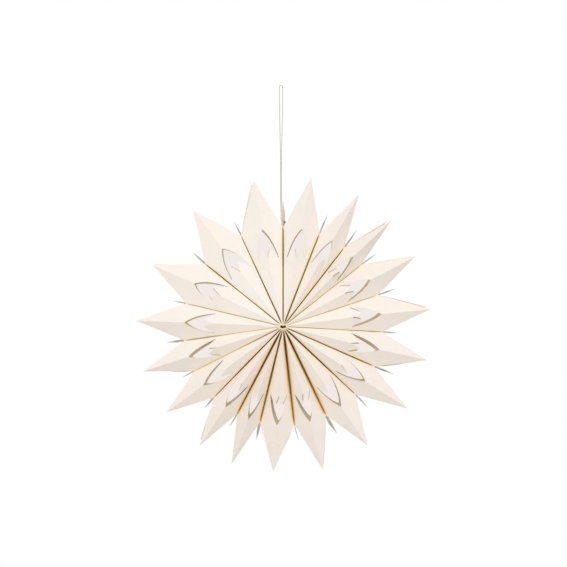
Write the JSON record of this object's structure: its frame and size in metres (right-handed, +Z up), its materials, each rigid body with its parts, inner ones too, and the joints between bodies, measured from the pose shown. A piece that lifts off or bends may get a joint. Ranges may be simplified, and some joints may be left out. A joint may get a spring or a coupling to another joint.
{
  "type": "paper star",
  "caption": "Hanging folded paper star: pockets glued wall to wall and fanned round a hub, with leaf-shaped windows, pointed petals and a cord loop to hang it by.",
  "frame": {"origin": "inside of the cord loop's top, where a hook or nail holds it", "axes": "+Z up along the cord; the star hangs below in the XZ plane and is seen from the front along +Y, its shortest extent; +X to the right"},
  "size_m": [0.5874, 0.1314, 0.7757],
  "materials": {
    "paper": "matt uncoated off-white paper, scored and folded, with cut edges",
    "cord": "thin twisted off-white cotton cord"
  },
  "bodies": {
    "root": {"pocket_01": "paper", "pocket_02": "paper", "pocket_03": "paper", "pocket_04": "paper", "pocket_05": "paper", "pocket_06": "paper", "pocket_07": "paper", "pocket_08": "paper", "pocket_09": "paper", "pocket_10": "paper", "pocket_11": "paper", "pocket_12": "paper", "pocket_13": "paper", "pocket_14": "paper", "pocket_15": "paper", "pocket_16": "paper", "pocket_17": "paper", "pocket_18": "paper", "hanging_cord": "cord", "cord_knot": "cord"}
  },
  "joints": []
}
